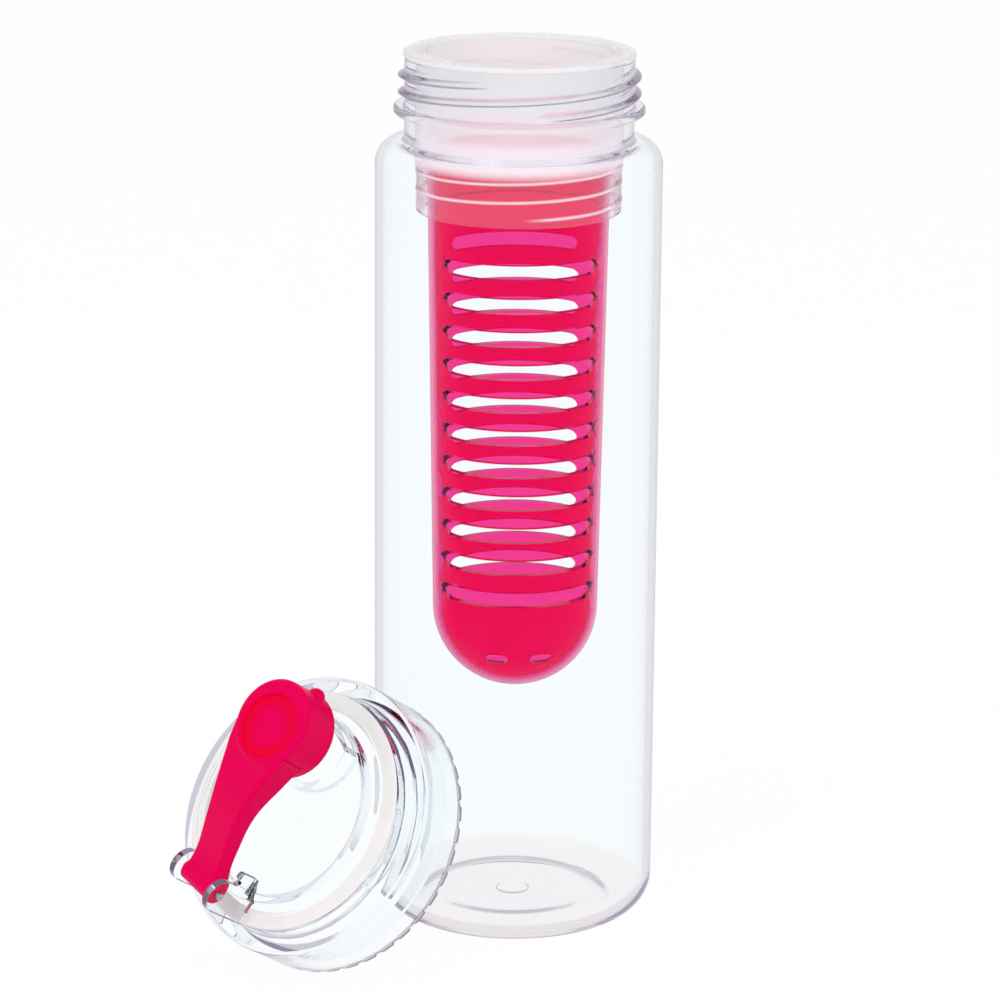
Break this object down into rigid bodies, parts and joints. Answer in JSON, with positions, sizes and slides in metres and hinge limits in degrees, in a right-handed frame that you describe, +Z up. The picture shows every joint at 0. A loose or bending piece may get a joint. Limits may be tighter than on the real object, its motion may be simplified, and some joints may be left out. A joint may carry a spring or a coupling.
{
  "type": "fruit infuser water bottle",
  "caption": "Clear water bottle with a slotted fruit infuser basket hung in its neck; the screw lid with its flip cap leans beside it",
  "frame": {"origin": "centre of the bottle's base, on the surface that it stands on", "axes": "+Z up the bottle's axis; +Y away from the picture's camera; the lid leans on the -X -Y side"},
  "size_m": [0.1224, 0.1119, 0.2272],
  "materials": {
    "clear_copolyester": "clear blown copolyester, gloss",
    "frosted_polypropylene": "translucent natural polypropylene, frosted",
    "tinted_magenta": "tinted clear magenta plastic, gloss",
    "clear_lid": "clear moulded plastic, gloss",
    "silicone": "pale grey-beige silicone, satin",
    "steel_pin": "drawn stainless steel",
    "red_cap": "red-magenta moulded plastic, satin gloss"
  },
  "bodies": {
    "bottle": {"bottle_body": "clear_copolyester", "bottle_neck": "clear_copolyester"},
    "collar": {"infuser_collar": "frosted_polypropylene"},
    "basket": {"infuser_basket": "tinted_magenta"},
    "lid": {"lid_shell": "clear_lid", "lid_spout": "clear_lid", "lid_gasket": "silicone", "hinge_pin": "steel_pin"},
    "cap": {"flip_cap": "red_cap", "spout_plug": "silicone"}
  },
  "joints": [
    {"name": "infuser_lift", "type": "slide", "parent": "bottle", "child": "collar", "axis": [0, 0, 1], "range_m": [0, 0.17]},
    {"name": "basket_unscrew", "type": "slide", "parent": "collar", "child": "basket", "axis": [0, 0, -1], "range_m": [0, 0.016]},
    {"name": "lid_away", "type": "slide", "parent": "bottle", "child": "lid", "axis": [0, 0, 1], "range_m": [0, 0.12]},
    {"name": "cap_flip", "type": "hinge", "parent": "lid", "child": "cap", "pos_m": [-0.07732, -0.06257, 0.02791], "axis": [0.6102, -0.7334, -0.2997], "range_deg": [0, 130]}
  ]
}
